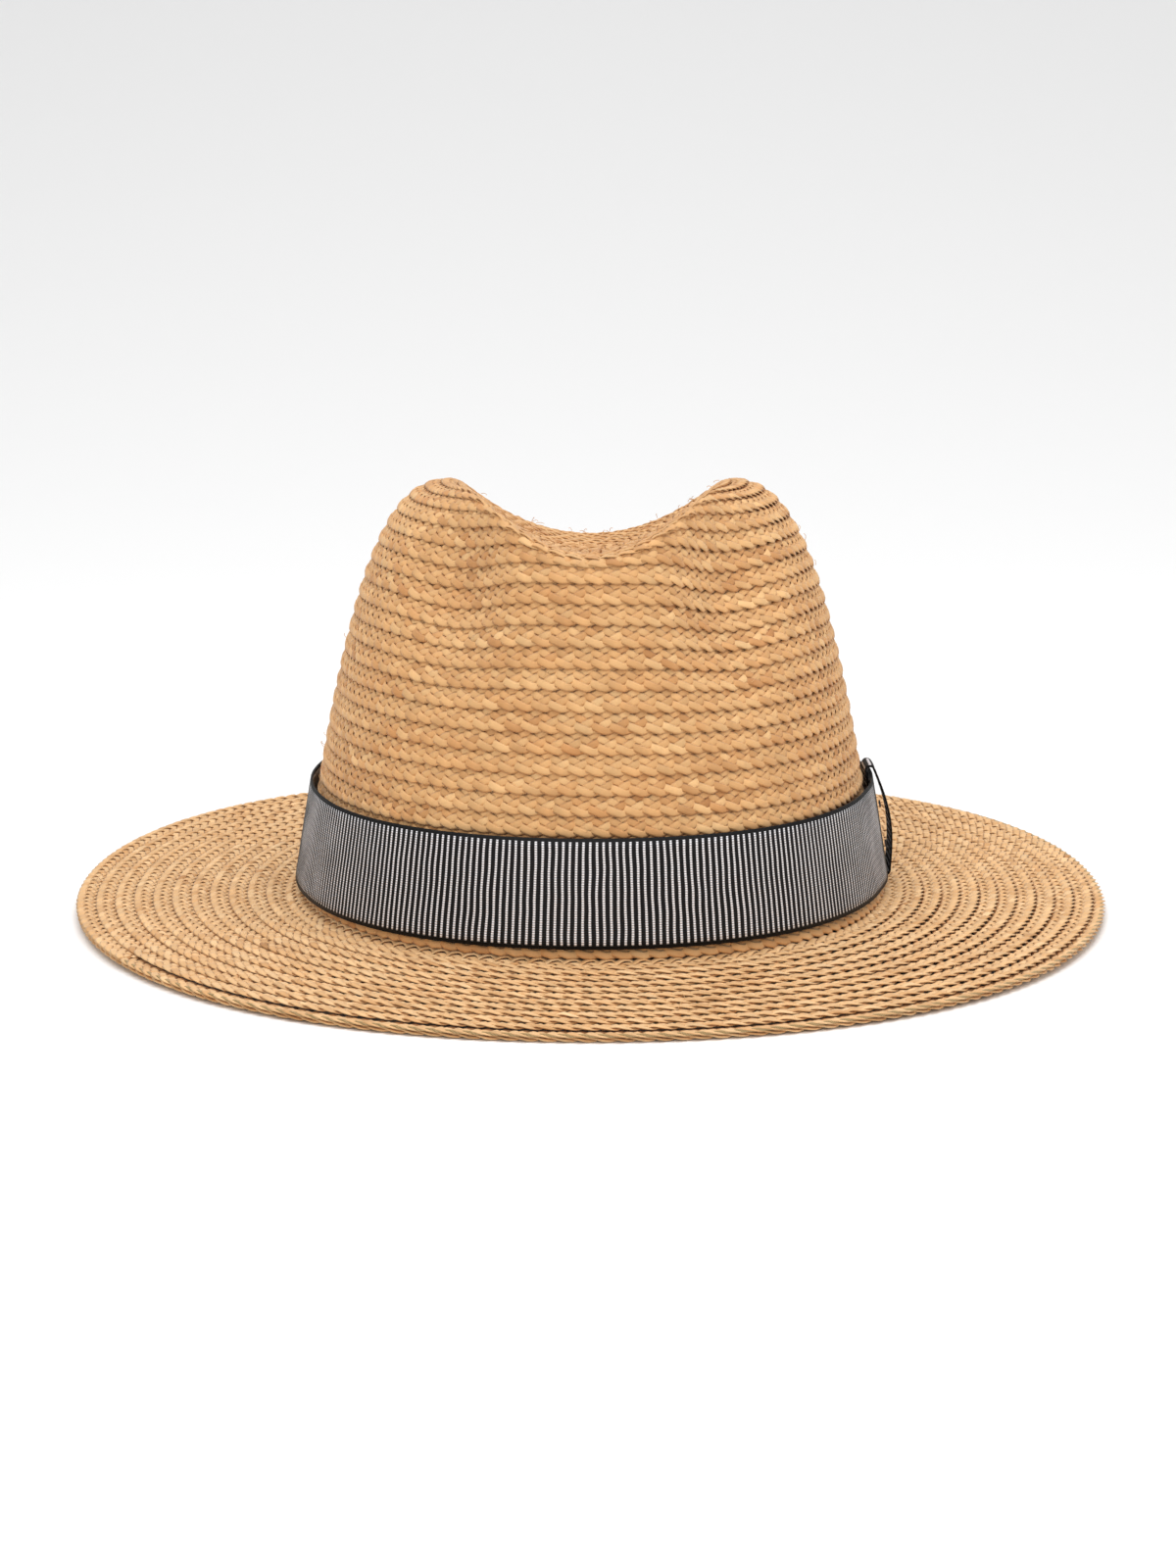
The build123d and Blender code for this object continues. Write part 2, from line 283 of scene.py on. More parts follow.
@dataclass(frozen=True)
class Raffia:
    """Raffia palm leaf, split by hand and plaited dry: matt, with lengthwise fibres and uneven tone."""

    name: str
    pale: str
    middle: str
    deep: str
    brown: str
    fibre_mm: float = 0.16
    tone_mm: float = 34.0

    def build(self) -> bpy.types.Material:
        """Make the material; it reads the strand attributes that the plait's tree stores.

        Returns:
            The material.
        """
        material, shader = new_material(self.name)
        tree = material.node_tree
        shader.inputs["Roughness"].default_value = 0.62
        shader.inputs["Specular IOR Level"].default_value = 0.35
        shader.inputs["Sheen Weight"].default_value = 0.12
        along = add_node(tree, "ShaderNodeAttribute", {"attribute_name": "strand_along"}).outputs["Fac"]
        across = add_node(tree, "ShaderNodeAttribute", {"attribute_name": "strand_across"}).outputs["Fac"]
        number = add_node(tree, "ShaderNodeAttribute", {"attribute_name": "strand_number"}).outputs["Fac"]
        lane = add_node(tree, "ShaderNodeCombineXYZ", {},
                        {"X": along, "Y": across, "Z": number}).outputs["Vector"]

        def noise(scale_along: float, scale_across: float, detail: float) -> bpy.types.NodeSocket:
            """Noise stretched along the strand, with its own pattern on each strand."""
            place = add_node(tree, "ShaderNodeVectorMath", {"operation": "MULTIPLY"},
                             {0: lane, 1: (scale_along, scale_across, 7.31)}).outputs["Vector"]
            return add_node(tree, "ShaderNodeTexNoise", {}, {"Vector": place, "Scale": 1.0, "Detail": detail,
                                                            "Roughness": 0.6}).outputs["Fac"]

        tone = noise(1 / self.tone_mm, 0.15, 2.0)
        ramp = add_node(tree, "ShaderNodeValToRGB", {}, {"Fac": tone})
        stops = [(0.24, self.brown), (0.36, self.deep), (0.50, self.middle), (0.68, self.pale)]
        ramp.color_ramp.elements[0].position = stops[0][0]
        ramp.color_ramp.elements[1].position = stops[-1][0]
        for position, _ in stops[1:-1]:
            ramp.color_ramp.elements.new(position)
        for element, (_, colour) in zip(ramp.color_ramp.elements, stops):
            element.color = linear(colour)
        fibres = noise(0.12, 1 / self.fibre_mm, 3.0)
        shade = add_node(tree, "ShaderNodeMapRange", {}, {"Value": fibres, "From Min": 0.3, "From Max": 0.7,
                                                         "To Min": 0.80, "To Max": 1.10}).outputs["Result"]
        rgb = add_node(tree, "ShaderNodeCombineColor", {}, {0: shade, 1: shade, 2: shade}).outputs[0]
        mixed = add_node(tree, "ShaderNodeMix", {"data_type": "RGBA", "blend_type": "MULTIPLY"},
                         {0: 1.0, 6: ramp.outputs["Color"], 7: rgb}).outputs[2]
        tree.links.new(mixed, shader.inputs["Base Color"])
        bump = add_node(tree, "ShaderNodeBump", {}, {"Height": fibres, "Strength": 0.55, "Distance": 0.00018})
        tree.links.new(bump.outputs["Normal"], shader.inputs["Normal"])
        return material


@dataclass(frozen=True)
class StripedGrosgrain:
    """Grosgrain ribbon: warp stripes in black and white over crosswise ribs, with solid black selvedges."""

    name: str = "woven_grosgrain_striped"
    pitch_mm: float = 1.78
    white_share: float = 0.34
    width_mm: float = 28.5
    selvedge_mm: float = 1.0
    weft_mm: float = 0.62
    white: str = "F6F4F7"
    black: str = "060608"

    def build(self) -> bpy.types.Material:
        """Make the material; its UV map is in millimetres, U along the ribbon and V across it.

        Returns:
            The material.
        """
        material, shader = new_material(self.name)
        tree = material.node_tree
        shader.inputs["Roughness"].default_value = 0.6
        shader.inputs["Specular IOR Level"].default_value = 0.2
        shader.inputs["Sheen Weight"].default_value = 0.06
        shader.inputs["Sheen Roughness"].default_value = 0.25
        uv = add_node(tree, "ShaderNodeUVMap", {"uv_map": "ribbon_mm"}).outputs["UV"]
        split = add_node(tree, "ShaderNodeSeparateXYZ", {}, {"Vector": uv})
        maths = partial(arithmetic, tree)
        wobble = add_node(tree, "ShaderNodeTexNoise", {},
                          {"Vector": uv, "Scale": 0.09, "Detail": 1.0}).outputs["Fac"]
        place = maths("ADD", split.outputs["X"], maths("MULTIPLY", maths("SUBTRACT", wobble, 0.5), 0.7))
        cycle = maths("FRACT", maths("DIVIDE", place, self.pitch_mm))
        from_middle = maths("ABSOLUTE", maths("SUBTRACT", cycle, 0.5))
        stripe = add_node(tree, "ShaderNodeMapRange", {"interpolation_type": "SMOOTHSTEP"},
                          {"Value": from_middle, "From Min": self.white_share / 2 - 0.06,
                           "From Max": self.white_share / 2 + 0.06,
                           "To Min": 1.0, "To Max": 0.0}).outputs["Result"]
        weft = maths("SINE", maths("MULTIPLY", split.outputs["Y"], 2 * math.pi / self.weft_mm))
        dots = maths("MULTIPLY_ADD", weft, 0.3, 0.7)
        from_centre = maths("ABSOLUTE", maths("SUBTRACT", split.outputs["Y"], self.width_mm / 2))
        inside = maths("LESS_THAN", from_centre, self.width_mm / 2 - self.selvedge_mm)
        amount = maths("MULTIPLY", maths("MULTIPLY", stripe, dots), inside)
        colour = add_node(tree, "ShaderNodeMix", {"data_type": "RGBA"},
                          {0: amount, 6: linear(self.black), 7: linear(self.white)}).outputs[2]
        tree.links.new(colour, shader.inputs["Base Color"])
        rib = maths("COSINE", maths("MULTIPLY", from_middle, 2 * math.pi))
        height = maths("MULTIPLY", maths("ADD", rib, weft), 0.5)
        bump = add_node(tree, "ShaderNodeBump", {}, {"Height": height, "Strength": 0.5, "Distance": 0.00015})
        tree.links.new(bump.outputs["Normal"], shader.inputs["Normal"])
        return material


@dataclass(frozen=True)
class WovenTape:
    """Plain woven cotton or polyester tape: crossed threads, drawn large so that they show."""

    name: str
    warm: str
    shade: str
    thread_mm: float = 0.5
    roughness: float = 0.8

    def build(self) -> bpy.types.Material:
        """Make the material from the piece's UV map in millimetres.

        Returns:
            The material.
        """
        material, shader = new_material(self.name)
        tree = material.node_tree
        shader.inputs["Roughness"].default_value = self.roughness
        shader.inputs["Sheen Weight"].default_value = 0.2
        uv = add_node(tree, "ShaderNodeUVMap", {"uv_map": "ribbon_mm"}).outputs["UV"]
        split = add_node(tree, "ShaderNodeSeparateXYZ", {}, {"Vector": uv})
        maths = partial(arithmetic, tree)
        waves = [maths("SINE", maths("MULTIPLY", split.outputs[axis], 2 * math.pi / (2 * self.thread_mm)))
                 for axis in ("X", "Y")]
        weave = maths("MULTIPLY", *waves)
        mottle = add_node(tree, "ShaderNodeTexNoise", {},
                          {"Vector": uv, "Scale": 0.35, "Detail": 3.0}).outputs["Fac"]
        total = maths("MULTIPLY_ADD", weave, 0.25, mottle)
        colour = add_node(tree, "ShaderNodeMix", {"data_type": "RGBA"},
                          {0: total, 6: linear(self.shade), 7: linear(self.warm)}).outputs[2]
        tree.links.new(colour, shader.inputs["Base Color"])
        bump = add_node(tree, "ShaderNodeBump", {}, {"Height": weave, "Strength": 0.5, "Distance": 0.00012})
        tree.links.new(bump.outputs["Normal"], shader.inputs["Normal"])
        return material


@dataclass(frozen=True)
class SpunThread:
    """Twisted sewing thread: fine diagonal plies that catch a little light."""

    name: str
    colour: str
    shade: str
    ply_mm: float = 0.45

    def build(self) -> bpy.types.Material:
        """Make the material from Object coordinates.

        Returns:
            The material.
        """
        material, shader = new_material(self.name)
        tree = material.node_tree
        shader.inputs["Roughness"].default_value = 0.55
        coords = add_node(tree, "ShaderNodeTexCoord").outputs["Object"]
        wave = add_node(tree, "ShaderNodeTexWave", {"bands_direction": "DIAGONAL"},
                        {"Vector": coords, "Scale": 0.3 / (self.ply_mm * MM)}).outputs["Fac"]
        colour = add_node(tree, "ShaderNodeMix", {"data_type": "RGBA"},
                          {0: wave, 6: linear(self.shade), 7: linear(self.colour)}).outputs[2]
        tree.links.new(colour, shader.inputs["Base Color"])
        return material


@dataclass(frozen=True)
class MillinersWire:
    """Cotton-covered steel wire: matt thread wound tightly round the core."""

    name: str = "cotton_covered_wire"
    colour: str = "B79A6C"
    shade: str = "8F7549"
    wind_mm: float = 0.3

    def build(self) -> bpy.types.Material:
        """Make the material from Object coordinates.

        Returns:
            The material.
        """
        return SpunThread(self.name, self.colour, self.shade, self.wind_mm).build()


class Finish(Enum):
    """The hat's finishes."""

    # One plait, two copies: the brim's is painted lighter (painted light on the flat top that faces the lamp
    # above) and the crown's darker (painted shade on the upright wall).
    CROWN_RAFFIA_PAINTED_SHADE = Raffia("plaited_raffia_crown_painted_shade", "E2B67F", "D6A46C", "C68F58", "AE7440")
    BRIM_RAFFIA_PAINTED_LIGHT = Raffia("plaited_raffia_brim_painted_light", "EBC391", "E0B37E", "D2A069", "BB854E")
    RIBBON = StripedGrosgrain()
    KEEPER = StripedGrosgrain("woven_grosgrain_keeper", width_mm=14.0)
    SWEATBAND = WovenTape("woven_cotton_tape_natural", "D9C7A6", "BCA682", 0.5)
    SEAM_COVER = WovenTape("woven_cotton_tape_tan", "C6AF86", "A68D64", 0.5)
    LABEL = WovenTape("satin_polyester_label", "F1EEE6", "D8D3C6", 0.3, 0.5)
    BLACK_THREAD = SpunThread("spun_polyester_thread_black", "2A2A2E", "0C0C0E")
    EDGE_WIRE = MillinersWire()
    TAN_THREAD = SpunThread("spun_polyester_thread_tan", "CBB083", "9B7F55")

    def material(self) -> bpy.types.Material:
        """The finish's material, made once."""
        return bpy.data.materials.get(self.value.name) or self.value.build()


# ---------------------------------------------------------------- mesh helpers


def finish_piece(piece: bpy.types.Object, slot: str, *nodes: str) -> bpy.types.Object:
    """Let a piece ride on the hat and stand for its CAD nodes.

    Args:
        piece: The finished mesh object.
        slot: The record's material slot; not used.
        nodes: CAD nodes that it replaces.

    Returns:
        The same object.
    """
    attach(piece, BODY)
    if nodes:
        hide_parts(*nodes)
    log.info("%s: %d faces", piece.name, len(piece.data.polygons))
    return piece


def mesh_object(name: str, points: np.ndarray, faces: list, finish: Finish) -> bpy.types.Object:
    """Make an object at the origin from points in millimetres.

    Args:
        name: The piece's name.
        points: N by 3 points in millimetres.
        faces: Lists of point numbers.
        finish: Its finish.

    Returns:
        The object, linked to the scene.
    """
    mesh = bpy.data.meshes.new(name)
    mesh.from_pydata((points * MM).tolist(), [], faces)
    mesh.validate()
    mesh.polygons.foreach_set("use_smooth", [True] * len(mesh.polygons))
    mesh.materials.append(finish.material())
    return linked(name, mesh)


def guide_line(name: str, points: np.ndarray, vectors: dict, edges: list | None = None) -> bpy.types.Object:
    """Make a line of edges that a Geometry Nodes tree follows.

    Args:
        name: The object's name.
        points: N by 3 points in millimetres.
        vectors: Attribute name to N by 3 values that the points hold.
        edges: Pairs of point numbers, where it isn't one line through all the points.

    Returns:
        The object.
    """
    mesh = bpy.data.meshes.new(name)
    mesh.from_pydata((points * MM).tolist(), edges or [(k, k + 1) for k in range(len(points) - 1)], [])
    for label, values in vectors.items():
        attribute = mesh.attributes.new(label, "FLOAT_VECTOR", "POINT")
        attribute.data.foreach_set("vector", values.astype(np.float32).ravel())
    return linked(name, mesh)


def facing_out(piece: bpy.types.Object) -> None:
    """Turn a closed piece's faces outward."""
    mesh = bmesh.new()
    mesh.from_mesh(piece.data)
    bmesh.ops.recalc_face_normals(mesh, faces=mesh.faces)
    mesh.to_mesh(piece.data)
    mesh.free()


def tape(name: str, grid: np.ndarray, thickness: float, normals: np.ndarray, uv: np.ndarray, finish: Finish,
         closed: bool = False) -> bpy.types.Object:
    """Make a closed thin solid from a grid of points on its inner face.

    Args:
        name: The piece's name.
        grid: Rows by columns by 3 points in millimetres; columns run along the tape.
        thickness: Its thickness in millimetres, laid outward.
        normals: Outward unit normals on the same grid.
        uv: Rows by columns by 2 lengths in millimetres: along and across.
        finish: Its finish.
        closed: Whether the last column joins the first.

    Returns:
        The piece.
    """
    rows, columns = grid.shape[:2]
    outer = grid + normals * thickness
    layers = np.concatenate([outer.reshape(-1, 3), grid.reshape(-1, 3)])
    count = rows * columns
    faces, corners = [], []
    span = columns if closed else columns - 1

    def quad(a: int, b: int, c: int, d: int, places: list) -> None:
        """Keep one face and its UV places."""
        faces.append([a, b, c, d])
        corners.extend(places)

    def spot(row: int, column: int) -> tuple:
        """UV of a grid point; a closed tape's last column runs on past its first."""
        if column < columns:
            return tuple(uv[row, column])
        return uv[row, -1, 0] + (uv[row, -1, 0] - uv[row, -2, 0]), uv[row, 0, 1]

    for row in range(rows - 1):
        for column in range(span):
            a, b = row * columns + column, row * columns + (column + 1) % columns
            c, d = b + columns, a + columns
            uvs = [spot(row, column), spot(row, column + 1), spot(row + 1, column + 1), spot(row + 1, column)]
            quad(a, b, c, d, uvs)
            quad(count + d, count + c, count + b, count + a, uvs[::-1])
    for row, flip in ((0, False), (rows - 1, True)):
        for column in range(span):
            a, b = row * columns + column, row * columns + (column + 1) % columns
            uvs = [spot(row, column), spot(row, column + 1)]
            if flip:
                quad(a, b, count + b, count + a, [uvs[0], uvs[1], uvs[1], uvs[0]])
            else:
                quad(b, a, count + a, count + b, [uvs[1], uvs[0], uvs[0], uvs[1]])
    if not closed:
        for column, flip in ((0, False), (columns - 1, True)):
            for row in range(rows - 1):
                a, b = row * columns + column, (row + 1) * columns + column
                uvs = [spot(row, column), spot(row + 1, column)]
                if flip:
                    quad(b, a, count + a, count + b, [uvs[1], uvs[0], uvs[0], uvs[1]])
                else:
                    quad(a, b, count + b, count + a, [uvs[0], uvs[1], uvs[1], uvs[0]])
    piece = mesh_object(name, layers, faces, finish)
    layer = piece.data.uv_layers.new(name="ribbon_mm")
    layer.data.foreach_set("uv", np.array(corners, np.float32).ravel())
    return piece


def baked(piece: bpy.types.Object, tree: bpy.types.NodeTree, values: dict) -> bpy.types.Object:
    """Run a Geometry Nodes tree on an object and keep the plain mesh that it makes.

    Args:
        piece: Object whose mesh feeds the tree.
        tree: The tree.
        values: Input name to value.

    Returns:
        The same object with the result as its mesh.
    """
    modifier = piece.modifiers.new("made", "NODES")
    modifier.node_group = tree
    sockets = {item.name: item.identifier for item in tree.interface.items_tree if item.in_out == "INPUT"}
    for name, value in values.items():
        modifier[sockets[name]] = value
    graph = bpy.context.evaluated_depsgraph_get()
    mesh = bpy.data.meshes.new_from_object(piece.evaluated_get(graph), preserve_all_data_layers=True,
                                           depsgraph=graph)
    piece.modifiers.remove(modifier)
    old = piece.data
    piece.data = mesh
    mesh.name = piece.name
    bpy.data.meshes.remove(old)
    return piece


def new_tree(name: str, inputs: dict) -> tuple:
    """Start a Geometry Nodes tree with named inputs.

    Args:
        name: The tree's name.
        inputs: Input name to (socket type, value).

    Returns:
        The tree, its input node's sockets by name, and its output node.
    """
    tree = bpy.data.node_groups.new(name, "GeometryNodeTree")
    tree.interface.new_socket("Geometry", in_out="INPUT", socket_type="NodeSocketGeometry")
    for label, (kind, value) in inputs.items():
        socket = tree.interface.new_socket(label, in_out="INPUT", socket_type=kind)
        if value is not None:
            socket.default_value = value
    tree.interface.new_socket("Geometry", in_out="OUTPUT", socket_type="NodeSocketGeometry")
    start, end = tree.nodes.new("NodeGroupInput"), tree.nodes.new("NodeGroupOutput")
    return tree, start.outputs, end


def end_tree(tree: bpy.types.NodeTree, mesh: bpy.types.NodeSocket, material: bpy.types.NodeSocket,
             end: bpy.types.Node) -> None:
    """Make a tree's instances real, give the result its material and send it to the output node."""
    real = add_node(tree, "GeometryNodeRealizeInstances", {}, {"Geometry": mesh}).outputs["Geometry"]
    dressed = add_node(tree, "GeometryNodeSetMaterial", {}, {"Geometry": real, "Material": material})
    tree.links.new(dressed.outputs["Geometry"], end.inputs["Geometry"])


# ---------------------------------------------------------------- the plait


@dataclass
class PlaitTree:
    """Geometry Nodes tree that plaits flat strands along a guide line.

    The guide is a line of points that hold, as attributes, where the braid's lower edge, middle and
    upper edge are, which way is out, and how far along the braid the point is.
    """

    strands: int = 5
    tree: bpy.types.NodeTree | None = None

    def build(self) -> bpy.types.NodeTree:
        """Build the tree once.

        Returns:
            The tree.
        """
        if self.tree:
            return self.tree
        tree, given, end = new_tree("plait", {
            "Strands": ("NodeSocketInt", self.strands),
            "Period": ("NodeSocketFloat", 0.0265),
            "Strand Width": ("NodeSocketFloat", 0.0024),
            "Strand Thickness": ("NodeSocketFloat", 0.0005),
            "Lift": ("NodeSocketFloat", 0.0004),
            "Margin": ("NodeSocketFloat", 0.13),
            "Ragged": ("NodeSocketFloat", 0.00012),
            "Seed": ("NodeSocketInt", 7),
            "Material": ("NodeSocketMaterial", None),
        })

        add, maths = partial(add_node, tree), partial(arithmetic, tree)

        def named(name: str, kind: str) -> bpy.types.NodeSocket:
            """A named attribute of the guide."""
            return add("GeometryNodeInputNamedAttribute", {"data_type": kind}, {"Name": name}).outputs[0]

        def scaled(vector: bpy.types.NodeSocket, factor: bpy.types.NodeSocket) -> bpy.types.NodeSocket:
            """A vector times a number."""
            return add("ShaderNodeVectorMath", {"operation": "SCALE"}, {0: vector, "Scale": factor}).outputs[0]

        def summed(first: bpy.types.NodeSocket, second: bpy.types.NodeSocket) -> bpy.types.NodeSocket:
            """The sum of two vectors."""
            return add("ShaderNodeVectorMath", {"operation": "ADD"}, {0: first, 1: second}).outputs["Vector"]

        line = add("GeometryNodeMeshToCurve", {}, {"Mesh": given["Geometry"]}).outputs["Curve"]
        copies = add("GeometryNodeDuplicateElements", {"domain": "SPLINE"},
                     {"Geometry": line, "Amount": given["Strands"]})
        number = copies.outputs["Duplicate Index"]
        stored = add("GeometryNodeStoreNamedAttribute", {"data_type": "FLOAT", "domain": "CURVE"},
                     {"Geometry": copies.outputs["Geometry"], "Name": "strand_number", "Value": number})
        number = named("strand_number", "FLOAT")
        along = named("along", "FLOAT")
        # phase of this strand in the plait, from -0.5 to 0.5 of a period
        turns = maths("ADD", maths("DIVIDE", along, given["Period"]),
                      maths("DIVIDE", number, given["Strands"]))
        phase = maths("SUBTRACT", maths("FRACT", turns), 0.5)
        size = maths("ABSOLUTE", phase)
        # sideways: a rounded zigzag from one edge to the other
        zigzag = maths("SUBTRACT", 1.0, maths("MULTIPLY", size, 4.0))
        eased = maths("COSINE", maths("MULTIPLY", phase, 2 * math.pi))
        side = maths("ADD", maths("MULTIPLY", zigzag, 0.62), maths("MULTIPLY", eased, 0.38))
        # up and down: over one, under one, and folded round at each edge
        angle = maths("MULTIPLY", size, 2 * math.pi)
        count = given["Strands"]
        wave = maths("MULTIPLY", maths("SIGN", phase), maths("COSINE", maths("MULTIPLY", angle, count)))
        edge = maths("DIVIDE", math.pi, count)
        signed = maths("MULTIPLY", phase, 2 * math.pi)
        half_signed = maths("MULTIPLY", maths("MULTIPLY", signed, count), 0.5)
        near = maths("MULTIPLY", maths("SINE", half_signed), -1.0)
        half_left = maths("MULTIPLY", maths("MULTIPLY", maths("SUBTRACT", math.pi, angle), count), 0.5)
        past = maths("MULTIPLY", maths("SIGN", phase), maths("SINE", half_left))
        is_near = maths("LESS_THAN", angle, edge)
        is_far = maths("GREATER_THAN", angle, maths("SUBTRACT", math.pi, edge))
        height = maths("ADD", maths("MULTIPLY", near, is_near), maths("MULTIPLY", past, is_far))
        between = maths("SUBTRACT", 1.0, maths("ADD", is_near, is_far))
        height = maths("ADD", height, maths("MULTIPLY", wave, between))
        # where that is across the braid
        shake = add("FunctionNodeRandomValue", {"data_type": "FLOAT"},
                    {"Min": -1.0, "Max": 1.0, "Seed": given["Seed"]}).outputs["Value"]
        shake = maths("MULTIPLY", shake, given["Ragged"])
        half = maths("SUBTRACT", 0.5, given["Margin"])
        share = maths("ADD", maths("MULTIPLY", side, half), 0.5)
        low, middle, high, out = (named(label, "FLOAT_VECTOR")
                                  for label in ("low_edge", "mid_line", "high_edge", "outward"))
        from_one = maths("SUBTRACT", 1.0, share)
        weight_low = maths("MULTIPLY", from_one, maths("SUBTRACT", 1.0, maths("MULTIPLY", share, 2.0)))
        weight_mid = maths("MULTIPLY", maths("MULTIPLY", share, from_one), 4.0)
        weight_high = maths("MULTIPLY", share, maths("SUBTRACT", maths("MULTIPLY", share, 2.0), 1.0))
        place = summed(summed(scaled(low, weight_low), scaled(middle, weight_mid)), scaled(high, weight_high))
        place = summed(place, scaled(out, maths("ADD", maths("MULTIPLY", height, given["Lift"]), shake)))
        moved = add("GeometryNodeSetPosition", {},
                    {"Geometry": stored.outputs["Geometry"], "Position": place})
        facing = add("GeometryNodeSetCurveNormal", {"mode": "FREE"},
                     {"Curve": moved.outputs["Geometry"], "Normal": out})
        marked = add("GeometryNodeStoreNamedAttribute", {"data_type": "FLOAT", "domain": "POINT"},
                     {"Geometry": facing.outputs["Curve"], "Name": "strand_along",
                      "Value": maths("DIVIDE", along, MM)})
        # flat strand's outline
        circle = add("GeometryNodeCurvePrimitiveCircle", {"mode": "RADIUS"}, {"Resolution": 6, "Radius": 0.5})
        spot = add("GeometryNodeInputPosition").outputs["Position"]
        parts = add("ShaderNodeSeparateXYZ", {}, {"Vector": spot})
        flat = add("ShaderNodeCombineXYZ", {}, {
            "X": maths("MULTIPLY", parts.outputs["Y"], given["Strand Thickness"]),
            "Y": maths("MULTIPLY", parts.outputs["X"], given["Strand Width"])}).outputs["Vector"]
        squashed = add("GeometryNodeSetPosition", {}, {"Geometry": circle.outputs["Curve"], "Position": flat})
        across = maths("DIVIDE", maths("MULTIPLY", parts.outputs["X"], given["Strand Width"]), MM)
        outline = add("GeometryNodeStoreNamedAttribute", {"data_type": "FLOAT", "domain": "POINT"},
                      {"Geometry": squashed.outputs["Geometry"], "Name": "strand_across", "Value": across})
        strands = add("GeometryNodeCurveToMesh", {}, {"Curve": marked.outputs["Geometry"],
                                                      "Profile Curve": outline.outputs["Geometry"],
                                                      "Fill Caps": True})
        smooth = add("GeometryNodeSetShadeSmooth", {},
                     {"Geometry": strands.outputs["Mesh"], "Shade Smooth": True})
        end_tree(tree, smooth.outputs["Geometry"], given["Material"], end)
        self.tree = tree
        return tree


